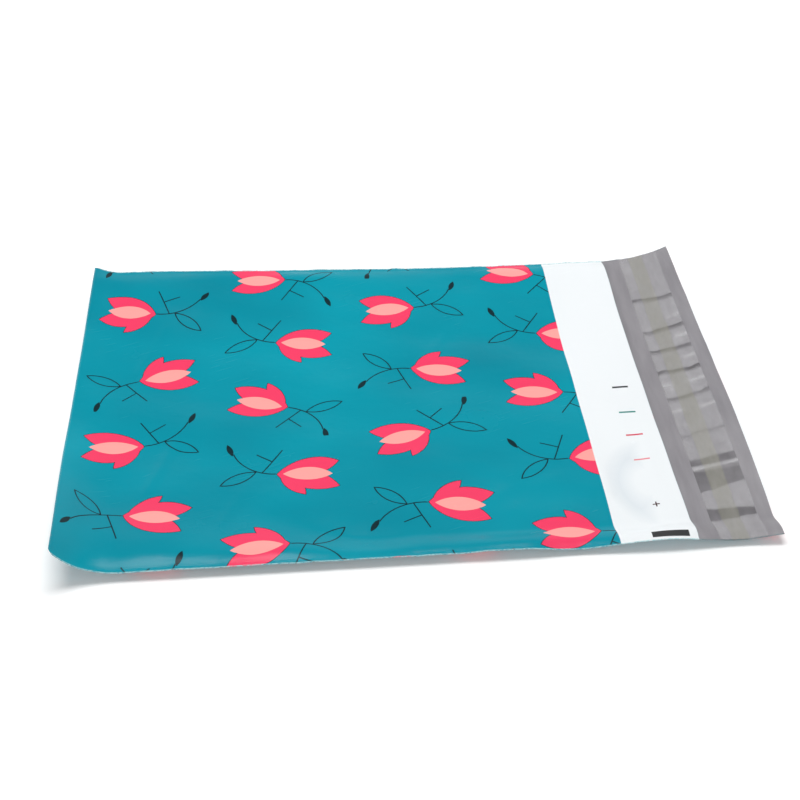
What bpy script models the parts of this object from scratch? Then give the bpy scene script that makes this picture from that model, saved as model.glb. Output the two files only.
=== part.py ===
"""Flat poly mailer bag: one folded film with welded sides, a glue strip and its release liner.

The film is one length of plastic folded at the bottom of the bag. Its sides are welded and cut
by one hot knife, which leaves a bead. The back runs on past the mouth as the closing flap, which
carries a strip of glue under a clear liner.

X runs along the bag from the bottom fold to the end of the flap, Y across it, and Z is up. The
origin is on the ground under the middle of the bag. Lengths are in metres, angles in degrees.
"""

from math import pi

import bmesh
import bpy
import numpy as np

# Cut and welded sizes of the bag
BAG_WIDTH = 0.254
BAG_LENGTH = 0.330
FLAP_LENGTH = 0.044
BAND_LENGTH = 0.040
FILM_THICKNESS = 0.00006
WELD_WIDTH = 0.0018
BEAD_WIDTH = 0.0006
BEAD_THICKNESS = 0.00036
FOLD_LENGTH = 0.0009
FOLD_THICKNESS = 0.00022
CORNER_LENGTH = 0.0030
CORNER_DEPTH = 0.0020

# Glue strip and release liner on the inner face of the flap
GLUE_SETBACK = 0.0173
GLUE_WIDTH = 0.0095
GLUE_THICKNESS = 0.00012
LINER_SETBACK = 0.0112
LINER_WIDTH = 0.025
LINER_THICKNESS = 0.00005
LINER_END_MARGIN = 0.0006
SEAT_CLEARANCE = 0.0003

# How the bag lies: its curled sides, its lifted far corner and the curls at its two ends
SIDE_LIFT = 0.005
SIDE_FLAT = 0.003
NEAR_CURL_WIDTH = 0.016
NEAR_CURL_WIDTH_FOLD = 0.075
NEAR_CURL_START = 0.040
NEAR_CURL_SPREAD = 0.130
FAR_CURL_WIDTH = 0.075
FAR_LIFT = 0.0090
FAR_LIFT_LENGTH = 0.240
FAR_LIFT_WIDTH = 0.127
FAR_LIFT_POWER = 1.2
FLAP_SIDE_SHARE = 0.3
NEAR_WAVE_HEIGHT = 0.0018
NEAR_WAVE_LENGTH = 0.085
NEAR_WAVE_CREST = 0.311
NEAR_WAVE_REACH = 0.110
FOLD_CURL_LENGTH = 0.0377
FOLD_CURL_DEGREES_NEAR = 61.0
FOLD_CURL_DEGREES_MIDDLE = 14.0
FOLD_CURL_DEGREES_FAR = 42.0
FLAP_CURL_LENGTH = 0.052
FLAP_CURL_DEGREES_NEAR = 1.5
FLAP_CURL_DEGREES_FAR = 30.0
FLAP_CURL_SPREAD = 0.105

# Air between the front and the back
POCKET_GAP = 0.0013
POCKET_MARGIN = 0.010
POCKET_RIPPLE = 0.0007
RIPPLE_LENGTH = 0.096
RIPPLE_WIDTH = 0.083
RIPPLE_SKEW_ALONG = 0.6
RIPPLE_SKEW_ACROSS = 0.35
MOUTH_LIFT = 0.0006
MOUTH_LIFT_LENGTH = 0.030

# Cross buckles that storage has pressed into the liner
BUCKLE_COUNT = 8
BUCKLE_PITCH = 0.0275
BUCKLE_WIDTH = 0.0042
BUCKLE_HEIGHT = 0.0011
BUCKLE_DRIFT = 0.0033
BUCKLE_DRIFT_TURN = 2.3

# How finely the film is divided
CURL_STEPS = 7
BODY_STEPS = 14
BAND_STEPS = 3
NEAR_STEPS = 4
FAR_STEPS = 2
ACROSS_STEPS = 18
SIDE_ZONE = 0.020

HALF_WIDTH = BAG_WIDTH / 2
BACK_LENGTH = BAG_LENGTH + FLAP_LENGTH
NORMAL_STEP = 0.00002
LEAST_STEP = 0.0002


def clear_scene():
    """Remove every object, so that the bag is alone in the scene."""
    for old in list(bpy.data.objects):
        bpy.data.objects.remove(old, do_unlink=True)


def make_material(name, colour, roughness):
    """A plastic finish of one colour."""
    material = bpy.data.materials.new(name)
    material.use_nodes = True
    shader = material.node_tree.nodes["Principled BSDF"]
    shader.inputs["Base Color"].default_value = (*colour, 1.0)
    shader.inputs["Roughness"].default_value = roughness
    shader.inputs["Metallic"].default_value = 0.0
    return material


def ease(x):
    """Rise smoothly from 0 to 1 as x goes from 0 to 1, level at both ends."""
    t = np.clip(x, 0.0, 1.0)
    return t * t * (3.0 - 2.0 * t)


def curl(run, degrees, length):
    """Advance and climb along an arc of the given flat length that ends at the given angle."""
    radius = length / np.radians(degrees)
    turned = run / radius
    return radius * np.sin(turned), radius * (1.0 - np.cos(turned))


def blend(first, second, share):
    """Pass from the first value to the second as the share goes from 0 to 1."""
    return first + (second - first) * ease(share)


def side_lift(along, across):
    """How far the two curled sides and the far corner stand off the ground."""
    from_near = across + HALF_WIDTH
    from_far = HALF_WIDTH - across
    near_width = blend(NEAR_CURL_WIDTH_FOLD, NEAR_CURL_WIDTH, (along - NEAR_CURL_START) / NEAR_CURL_SPREAD)
    near_side = ease((near_width + SIDE_FLAT - from_near) / near_width)
    far_side = ease((FAR_CURL_WIDTH + SIDE_FLAT - from_far) / FAR_CURL_WIDTH)
    from_crest = np.abs(along - NEAR_WAVE_CREST)
    wave = np.cos(2.0 * pi * from_crest / NEAR_WAVE_LENGTH) * ease(2.0 - 2.0 * from_crest / NEAR_WAVE_REACH)
    near_lift = near_side * (SIDE_LIFT + NEAR_WAVE_HEIGHT * wave)

    corner = np.clip(1.0 - along / FAR_LIFT_LENGTH, 0.0, 1.0) ** FAR_LIFT_POWER
    corner_lift = FAR_LIFT * corner * ease(along / FOLD_CURL_LENGTH) * ease(1.0 - from_far / FAR_LIFT_WIDTH)
    on_flap = ease((along - (BACK_LENGTH - FLAP_CURL_LENGTH)) / FLAP_CURL_LENGTH)
    return near_lift + corner_lift + SIDE_LIFT * far_side * (1.0 + (FLAP_SIDE_SHARE - 1.0) * on_flap)


def lie(along, across):
    """Where the underside of the film lies, for flat distances along and across the bag."""
    from_near = across + HALF_WIDTH
    fold_curl = blend(FOLD_CURL_DEGREES_MIDDLE, FOLD_CURL_DEGREES_NEAR, -across / HALF_WIDTH)
    fold_curl = blend(fold_curl, FOLD_CURL_DEGREES_FAR, across / HALF_WIDTH)
    flap_curl = blend(FLAP_CURL_DEGREES_NEAR, FLAP_CURL_DEGREES_FAR, from_near / FLAP_CURL_SPREAD)
    fold_run = np.clip(FOLD_CURL_LENGTH - along, 0.0, None)
    flap_run = np.clip(along - (BACK_LENGTH - FLAP_CURL_LENGTH), 0.0, None)
    fold_reach, fold_climb = curl(fold_run, fold_curl, FOLD_CURL_LENGTH)
    flap_reach, flap_climb = curl(flap_run, flap_curl, FLAP_CURL_LENGTH)

    x = along + (fold_run - fold_reach) - (flap_run - flap_reach)
    z = fold_climb + flap_climb + side_lift(along, across)
    return np.stack([x, across + 0.0 * x, z], axis=-1)


def lie_normal(along, across):
    """Upward unit normal of the lying film."""
    down_bag = lie(along + NORMAL_STEP, across) - lie(along - NORMAL_STEP, across)
    over_bag = lie(along, across + NORMAL_STEP) - lie(along, across - NORMAL_STEP)
    normal = np.cross(down_bag, over_bag)
    return normal / np.linalg.norm(normal, axis=-1, keepdims=True)


def pocket_gap(along, across):
    """Air between the two panels: none at the welds and the fold, most in the middle."""
    inner_half = HALF_WIDTH - WELD_WIDTH
    from_weld = (inner_half - np.abs(across)) / POCKET_MARGIN
    from_fold = (along - FOLD_LENGTH) / POCKET_MARGIN
    edge = np.sin(np.clip(from_weld, 0.0, 1.0) * pi / 2.0)
    edge = edge * np.sin(np.clip(from_fold, 0.0, 1.0) * pi / 2.0)
    waves_along = along / RIPPLE_LENGTH + RIPPLE_SKEW_ALONG * across / RIPPLE_WIDTH
    waves_across = across / RIPPLE_WIDTH - RIPPLE_SKEW_ACROSS * along / RIPPLE_LENGTH
    ripple = np.sin(2.0 * pi * waves_along) * np.cos(2.0 * pi * waves_across)
    mouth = ease((along - (BAG_LENGTH - MOUTH_LIFT_LENGTH)) / MOUTH_LIFT_LENGTH)
    return edge * (POCKET_GAP + POCKET_RIPPLE * ripple + MOUTH_LIFT * mouth)


def stations():
    """Flat distances along the bag of the film's rows, and the rows of its band and mouth."""
    fold = [0.0, FOLD_LENGTH]
    curled = np.linspace(CORNER_LENGTH, FOLD_CURL_LENGTH, CURL_STEPS)
    body = np.linspace(FOLD_CURL_LENGTH, BAG_LENGTH - BAND_LENGTH, BODY_STEPS + 1)[1:]
    band = np.linspace(BAG_LENGTH - BAND_LENGTH, BAG_LENGTH, BAND_STEPS + 1)[1:]
    flap = sorted([*liner_rows(), BACK_LENGTH])
    rows = np.concatenate([fold, curled, body, band, flap])
    band_row = len(fold) + len(curled) + len(body) - 1
    return rows, band_row, band_row + BAND_STEPS


def liner_rows():
    """Flat distances of the liner's two edges and the glue's two edges."""
    liner_start = BAG_LENGTH + LINER_SETBACK
    glue_start = BAG_LENGTH + GLUE_SETBACK
    return [liner_start, glue_start, glue_start + GLUE_WIDTH, liner_start + LINER_WIDTH]


def columns():
    """Flat distances across the bag of the film's columns, from the near edge to the far one."""
    weld_line = HALF_WIDTH - WELD_WIDTH
    zone_line = weld_line - SIDE_ZONE
    near = np.linspace(-weld_line, -zone_line, NEAR_STEPS + 1)
    middle = np.linspace(-zone_line, zone_line, ACROSS_STEPS + 1)[1:-1]
    far = np.linspace(zone_line, weld_line, FAR_STEPS + 1)
    bead_line = HALF_WIDTH - BEAD_WIDTH
    return np.concatenate([[-HALF_WIDTH, -bead_line], near, middle, far, [bead_line, HALF_WIDTH]])


def film_grid():
    """Rows and columns of the film as grids, drawn in a little at the two folded corners."""
    rows, band_row, mouth_row = stations()
    along, across = np.meshgrid(rows, columns(), indexing="ij")
    corner = CORNER_DEPTH * np.clip(1.0 - along / CORNER_LENGTH, 0.0, 1.0)
    return along, across * (1.0 - corner / HALF_WIDTH), band_row, mouth_row


def middle_of_bag():
    """X of the middle of the lying bag, counted from where its flat fold would be."""
    along, across, _, _ = film_grid()
    x = lie(along, across)[..., 0]
    return (x.min() + x.max()) / 2.0


def place(along, across, height):
    """Points at a height above the underside of the film, in the frame of the bag."""
    points = lie(along, across) + lie_normal(along, across) * height[..., None]
    points[..., 0] -= middle_of_bag()
    return points


def layer_heights(along, across, mouth_row):
    """Heights of the back's inner face, the front's inner face and the front's outer face."""
    floor = np.full(along.shape, FILM_THICKNESS)
    ceiling = floor + pocket_gap(along, across)
    top = ceiling + FILM_THICKNESS
    for edge, bead in ((0, 1), (-1, -2)):
        top[:, edge] = 2.0 * FILM_THICKNESS
        top[:, bead] = BEAD_THICKNESS
    top[0, :] = FOLD_THICKNESS
    top[1, :] = np.maximum(top[1, :], 2.0 * FILM_THICKNESS)
    return floor, ceiling[: mouth_row + 1], top[: mouth_row + 1]


def add_points(mesh, points):
    """Add a grid of points to the mesh and give back the grid of its vertices."""
    rows, count = points.shape[:2]
    return [[mesh.verts.new(points[i, j]) for j in range(count)] for i in range(rows)]


def add_sheet(mesh, grid, upward, finish_of_row):
    """Triangles between the rows of a grid of vertices, turned up or down.

    Each cell is cut along the same diagonal in every layer, so that layers stay parallel. The
    diagonals of the two halves of the bag mirror each other.
    """
    for i in range(len(grid) - 1):
        for j in range(len(grid[i]) - 1):
            a, b, c, d = grid[i][j], grid[i + 1][j], grid[i + 1][j + 1], grid[i][j + 1]
            far_half = a.co.y + c.co.y > 0.0
            for corners in ([a, b, d], [b, c, d]) if far_half else ([a, b, c], [a, c, d]):
                add_face(mesh, corners if upward else corners[::-1], finish_of_row(i))


def add_face(mesh, corners, finish=0):
    """One face, without the corners that fall together."""
    distinct = [v for k, v in enumerate(corners) if v is not corners[k - 1]]
    if len(distinct) > 2:
        mesh.faces.new(distinct).material_index = finish


def add_rim(mesh, line, other, finish=0):
    """Faces that join two lines of vertices of equal length."""
    for k in range(len(line) - 1):
        add_face(mesh, [line[k], line[k + 1], other[k + 1], other[k]], finish)


def finish_object(name, mesh, materials):
    """Close the mesh's triangles, turn them outwards and put the object in the scene."""
    bmesh.ops.triangulate(mesh, faces=mesh.faces[:])
    bmesh.ops.recalc_face_normals(mesh, faces=mesh.faces[:])
    data = bpy.data.meshes.new(name)
    mesh.to_mesh(data)
    mesh.free()
    for material in materials:
        data.materials.append(material)
    data.shade_smooth()
    thing = bpy.data.objects.new(name, data)
    bpy.context.collection.objects.link(thing)
    return thing


def make_film(print_material, band_material, inner_material):
    """The folded film: front, back and flap in one closed body, open at the mouth."""
    along, across, band_row, mouth_row = film_grid()
    floor_height, ceiling_height, top_height = layer_heights(along, across, mouth_row)
    front = slice(0, mouth_row + 1)

    mesh = bmesh.new()
    under = add_points(mesh, place(along, across, np.zeros(along.shape)))
    top = add_points(mesh, place(along[front], across[front], top_height))
    floor = add_inner_floor(mesh, place(along, across, floor_height), mouth_row)
    ceiling = add_ceiling(mesh, place(along[front], across[front], ceiling_height), floor)

    add_sheet(mesh, under, False, lambda row: 0)
    add_sheet(mesh, top, True, lambda row: 1 if row >= band_row else 0)
    add_sheet(mesh, [line[2:-2] for line in floor[1 : mouth_row + 1]], True, lambda row: 2)
    add_sheet(mesh, floor[mouth_row:], True, lambda row: 2)
    add_sheet(mesh, [line[2:-2] for line in ceiling[1:]], False, lambda row: 2)
    close_film_edges(mesh, under, top, floor, ceiling, mouth_row)
    return finish_object("bag_film", mesh, [print_material, band_material, inner_material])


def add_inner_floor(mesh, points, mouth_row):
    """Inner face of the back. In front of the mouth it stops at the weld lines and the fold."""
    floor = []
    for i in range(points.shape[0]):
        inside_pocket = i < mouth_row
        count = points.shape[1]
        used = range(2, count - 2) if inside_pocket else range(count)
        line = [None] * count
        for j in used:
            if i >= 1:
                line[j] = mesh.verts.new(points[i, j])
        floor.append(line)
    return floor


def add_ceiling(mesh, points, floor):
    """Inner face of the front. It shares the floor's vertices where the panels are joined."""
    ceiling = []
    count = points.shape[1]
    for i in range(points.shape[0]):
        line = [None] * count
        for j in range(2, count - 2):
            joined = i == 1 or j in (2, count - 3)
            if i >= 1:
                line[j] = floor[i][j] if joined else mesh.verts.new(points[i, j])
        ceiling.append(line)
    return ceiling


def close_film_edges(mesh, under, top, floor, ceiling, mouth_row):
    """The cut sides, the folded end, the front's edge at the mouth and the edge of the flap."""
    add_rim(mesh, under[0], top[0])
    for edge in (0, -1):
        side_under = [line[edge] for line in under]
        side_top = [line[edge] for line in top]
        side_floor = [line[edge] for line in floor]
        add_rim(mesh, side_under[:mouth_row], side_top[:mouth_row])
        add_face(mesh, [side_under[mouth_row - 1], side_under[mouth_row], side_floor[mouth_row],
                        side_top[mouth_row], side_top[mouth_row - 1]])
        add_rim(mesh, side_under[mouth_row:], side_floor[mouth_row:])
    for first, second in ((0, 2), (-3, -1)):
        span = range(first % len(top[0]), second % len(top[0]) + 1)
        add_rim(mesh, [top[mouth_row][j] for j in span], [floor[mouth_row][j] for j in span])
    add_rim(mesh, top[mouth_row][2:-2], ceiling[mouth_row][2:-2])
    add_rim(mesh, under[-1], floor[-1])


def make_strip(name, low, high, material):
    """A thin strip on the flap, from grids of the points of its lower and upper faces."""
    mesh = bmesh.new()
    bottom = add_points(mesh, low)
    top = add_points(mesh, high)
    add_sheet(mesh, bottom, False, lambda row: 0)
    add_sheet(mesh, top, True, lambda row: 0)
    add_rim(mesh, bottom[0], top[0])
    add_rim(mesh, bottom[-1], top[-1])
    add_rim(mesh, [line[0] for line in bottom], [line[0] for line in top])
    add_rim(mesh, [line[-1] for line in bottom], [line[-1] for line in top])
    return finish_object(name, mesh, [material])


def on_film(along, across, height):
    """Points above the flap's flat facets, which lie between the film's own columns."""
    film_columns = columns()
    result = np.empty((*along.shape, 3))
    for i in range(along.shape[0]):
        row = np.full(film_columns.shape, along[i, 0])
        knots = place(row, film_columns, np.full(film_columns.shape, FILM_THICKNESS))
        lift = lie_normal(row, film_columns)
        for axis in range(3):
            base = np.interp(across[i], film_columns, knots[:, axis])
            turn = np.interp(across[i], film_columns, lift[:, axis])
            result[i, :, axis] = base + turn * height[i]
    return result


def buckle_places():
    """Where the liner's buckles cross its middle line, the spacing a little uneven."""
    order = np.arange(BUCKLE_COUNT) - (BUCKLE_COUNT - 1) / 2.0
    return order * BUCKLE_PITCH + BUCKLE_DRIFT * np.sin(BUCKLE_DRIFT_TURN * order)


def liner_columns(half_length):
    """Flat distances across the bag of the liner's columns: the film's own and each buckle's."""
    knots = np.array([x for x in columns() if abs(x) < half_length - WELD_WIDTH])
    folds = [crest + side * BUCKLE_WIDTH / 2.0 for crest in buckle_places() for side in (-1, 0, 1)]
    apart = [x for x in folds if np.min(np.abs(knots - x)) > LEAST_STEP and abs(x) < knots.max()]
    return np.array(sorted([-half_length, *knots, *apart, half_length]))


def buckle_height(across):
    """How far the liner stands up at each column: a small tent over each buckle."""
    nearest = np.min(np.abs(across[:, None] - buckle_places()[None, :]), axis=1)
    return BUCKLE_HEIGHT * np.clip(1.0 - nearest / (BUCKLE_WIDTH / 2.0), 0.0, 1.0)


def make_glue(material):
    """The strip of glue, a flat ribbon across the whole flap."""
    _, glue_start, glue_end, _ = liner_rows()
    half_length = HALF_WIDTH - LINER_END_MARGIN
    knots = [x for x in columns() if abs(x) < half_length - WELD_WIDTH]
    along, across = np.meshgrid([glue_start, glue_end], [-half_length, *knots, half_length], indexing="ij")
    low = np.full(along.shape, SEAT_CLEARANCE)
    return make_strip("adhesive_strip", on_film(along, across, low),
                      on_film(along, across, low + GLUE_THICKNESS), material)


def make_liner(material):
    """The clear liner, laid over the glue and buckled up in ridges from edge to edge."""
    across = liner_columns(HALF_WIDTH - LINER_END_MARGIN)
    along, across_grid = np.meshgrid(liner_rows(), across, indexing="ij")
    low = np.full(along.shape, SEAT_CLEARANCE) + buckle_height(across)
    low[1:3] += GLUE_THICKNESS + SEAT_CLEARANCE
    return make_strip("release_liner", on_film(along, across_grid, low),
                      on_film(along, across_grid, low + LINER_THICKNESS), material)


def main():
    """Build the bag film, the glue strip and the liner."""
    clear_scene()
    make_film(make_material("printed_film", (0.004, 0.270, 0.350), 0.30),
              make_material("unprinted_film", (0.860, 0.890, 0.930), 0.32),
              make_material("inner_film", (0.300, 0.300, 0.315), 0.38))
    make_glue(make_material("hot_melt", (0.400, 0.390, 0.320), 0.45))
    make_liner(make_material("liner_film", (0.420, 0.415, 0.430), 0.25))


main()
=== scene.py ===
"""Looks of a flat poly mailer bag: printed film, glue and its clear liner, in a plain studio.

The film, the glue and the liner are surfaces worked out with numpy over two distances measured on
the flat bag: along it, from the bottom fold, and across it, from its middle. Lengths are in metres.
"""

import logging
from collections.abc import Callable
from dataclasses import dataclass, field
from enum import Enum

import bpy
import numpy as np
from bpy.types import ID, Material, NodeSocket, Object, World
from mathutils import Matrix, Vector
from numpy.typing import NDArray


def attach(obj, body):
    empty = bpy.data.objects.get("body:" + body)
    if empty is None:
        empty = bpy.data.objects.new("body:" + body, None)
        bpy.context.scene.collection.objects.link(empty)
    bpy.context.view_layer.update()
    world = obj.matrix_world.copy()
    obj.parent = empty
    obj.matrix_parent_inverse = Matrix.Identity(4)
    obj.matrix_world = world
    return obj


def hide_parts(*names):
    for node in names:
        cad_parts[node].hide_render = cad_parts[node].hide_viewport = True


Array = NDArray[np.float64]
Numbers = NDArray[np.int64]
Pair = tuple[float, float]
Colour = tuple[float, float, float]

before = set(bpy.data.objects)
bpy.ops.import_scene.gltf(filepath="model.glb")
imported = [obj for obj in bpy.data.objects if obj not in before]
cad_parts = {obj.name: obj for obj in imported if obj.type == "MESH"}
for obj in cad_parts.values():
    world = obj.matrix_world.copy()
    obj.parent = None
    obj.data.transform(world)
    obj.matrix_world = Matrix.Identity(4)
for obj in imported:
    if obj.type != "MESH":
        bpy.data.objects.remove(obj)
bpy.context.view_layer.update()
BAG_WIDTH = 0.254
NOISE_CELLS = 64
log = logging.getLogger("mailer")


# Shapes as whole arrays


def held(x: Array) -> Array:
    """Numbers held between 0 and 1."""
    return np.clip(x, 0.0, 1.0)


def ease(x: Array) -> Array:
    """Rise smoothly from 0 to 1 as x does, level at both ends: three x squared less two x cubed.

    Args:
        x: Any numbers; those outside 0 to 1 are held at its ends.

    Returns:
        The eased numbers.
    """
    t = held(x)
    return t * t * (3.0 - 2.0 * t)


def bell(off: Array, width: float) -> Array:
    """A bell that is 1 in its middle and has fallen to about a third at its width."""
    return np.exp(-((off / width) ** 2))


def soft_noise(u: Array, v: Array, seed: int) -> Array:
    """Smooth noise: random values on whole numbers, eased between the four nearest.

    Args:
        u: First coordinate, in units of the noise's grain.
        v: Second coordinate, in the same units.
        seed: Which noise.

    Returns:
        Values between -1 and 1.
    """
    table = np.random.default_rng(seed).uniform(-1.0, 1.0, (NOISE_CELLS, NOISE_CELLS))
    u, v = np.broadcast_arrays(u, v)
    i, j = np.floor(u).astype(int), np.floor(v).astype(int)
    s, t = ease(u - i), ease(v - j)
    i0, i1, j0, j1 = (number % NOISE_CELLS for number in (i, i + 1, j, j + 1))
    low = table[i0, j0] * (1.0 - s) + table[i1, j0] * s
    high = table[i0, j1] * (1.0 - s) + table[i1, j1] * s
    return low * (1.0 - t) + high * t


@dataclass(frozen=True)
class Grain:
    """A layer of noise: sizes of its grain in two directions, its seed and its height."""

    first: float
    second: float
    seed: int
    height: float = 1.0

    def over(self, x: Array, y: Array) -> Array:
        """Heights of the noise over two coordinates in metres."""
        return self.height * soft_noise(x / self.first, y / self.second, self.seed)


@dataclass(frozen=True)
class Ridge:
    """A soft ridge along a line, which fades towards its two ends. A furrow has negative height."""

    start: Pair
    end: Pair
    width: float
    height: float
    fade: float = 4.0

    def over(self, x: Array, y: Array) -> Array:
        """Heights of the ridge over two coordinates: a bell of the distance to its line."""
        run = np.hypot(self.end[0] - self.start[0], self.end[1] - self.start[1])
        dx, dy = (self.end[0] - self.start[0]) / run, (self.end[1] - self.start[1]) / run
        share = ((x - self.start[0]) * dx + (y - self.start[1]) * dy) / run
        off = (y - self.start[1]) * dx - (x - self.start[0]) * dy
        ends = ease(share * self.fade), ease((1.0 - share) * self.fade)
        return bell(off, self.width) * ends[0] * ends[1] * self.height


def total(layers: tuple[Grain | Ridge, ...], x: Array, y: Array) -> Array:
    """Sum of several layers over the same two coordinates."""
    return sum(layer.over(x, y) for layer in layers)


def grid_faces(grid: Numbers, upward: bool) -> Numbers:
    """Triangles over a grid of vertex numbers, each cell cut along the same diagonal.

    Args:
        grid: Vertex numbers, rows along the bag and columns across it.
        upward: Whether the faces look up out of the bag or down.

    Returns:
        Three vertex numbers for each triangle.
    """
    a, b, c, d = grid[:-1, :-1], grid[1:, :-1], grid[1:, 1:], grid[:-1, 1:]
    near = np.stack([a, b, c, a, c, d], axis=-1).reshape(-1, 3)
    return near if upward else near[:, ::-1]


def strip_faces(low: Numbers, high: Numbers) -> Numbers:
    """Triangles between two lines of vertices, without those whose corners fall together.

    Args:
        low: Vertex numbers of the first line.
        high: Vertex numbers of the second line, as many.

    Returns:
        Three vertex numbers for each triangle.
    """
    a, b, c, d = low[:-1], low[1:], high[1:], high[:-1]
    faces = np.stack([a, b, c, a, c, d], axis=-1).reshape(-1, 3)
    return faces[(faces != np.roll(faces, 1, axis=1)).all(axis=1)]


def put(name: str, data: ID) -> Object:
    """Make an object that shows some data and link it to the scene."""
    thing = bpy.data.objects.new(name, data)
    bpy.context.scene.collection.objects.link(thing)
    return thing


@dataclass
class Skin:
    """The vertices and faces of one piece, gathered part by part before they become a mesh."""

    points: list[Array] = field(default_factory=list)
    flat: list[Array] = field(default_factory=list)
    faces: list[Numbers] = field(default_factory=list)
    sides: list[Array] = field(default_factory=list)
    finishes: list[Numbers] = field(default_factory=list)
    count: int = 0

    def add_points(self, points: Array, along: Array, across: Array) -> Numbers:
        """Add a grid of points, each with its two distances on the flat bag.

        Args:
            points: The grid's points.
            along: Their distances along the flat bag.
            across: Their distances across it.

        Returns:
            The grid of their vertex numbers.
        """
        shape = points.shape[:-1]
        numbers = self.count + np.arange(int(np.prod(shape))).reshape(shape)
        self.points.append(points.reshape(-1, 3))
        self.flat.append(np.stack([along, across], axis=-1).reshape(-1, 2))
        self.count += numbers.size
        return numbers

    def add_faces(self, faces: Numbers, side: float, finish: int = 0) -> None:
        """Add triangles on the front (side 1) or the back (side -1) of the cut film."""
        self.faces.append(faces)
        self.sides.append(np.full(len(faces), side))
        self.finishes.append(np.full(len(faces), finish))

    def make_object(self, name: str, sharp_degrees: float) -> Object:
        """Turn what was gathered into an object with a map of the flat film in metres.

        The map's first coordinate is the distance along the bag, negative on the back, so that the
        fold is where it is 0. Its second is the distance across the bag.

        Args:
            name: The object's name.
            sharp_degrees: Angle between faces from which an edge looks sharp.

        Returns:
            The new object, linked to the scene.
        """
        used, places = np.unique(np.concatenate(self.faces), return_inverse=True)
        faces = places.reshape(-1, 3)
        points, flat = np.concatenate(self.points)[used], np.concatenate(self.flat)[used]

        mesh = bpy.data.meshes.new(name)
        mesh.from_pydata(points, [], faces)
        finishes = np.concatenate(self.finishes).astype(np.int32)
        mesh.polygons.foreach_set("material_index", finishes)
        mesh.shade_smooth()
        mesh.set_sharp_from_angle(angle=np.radians(sharp_degrees))
        loops = flat[faces.reshape(-1)]
        loops[:, 0] *= np.repeat(np.concatenate(self.sides), 3)
        film_map = mesh.uv_layers.new(name="FlatFilm")
        film_map.data.foreach_set("uv", loops.astype(np.float32).ravel())
        mesh.update()
        return put(name, mesh)


# How the bag lies


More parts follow.
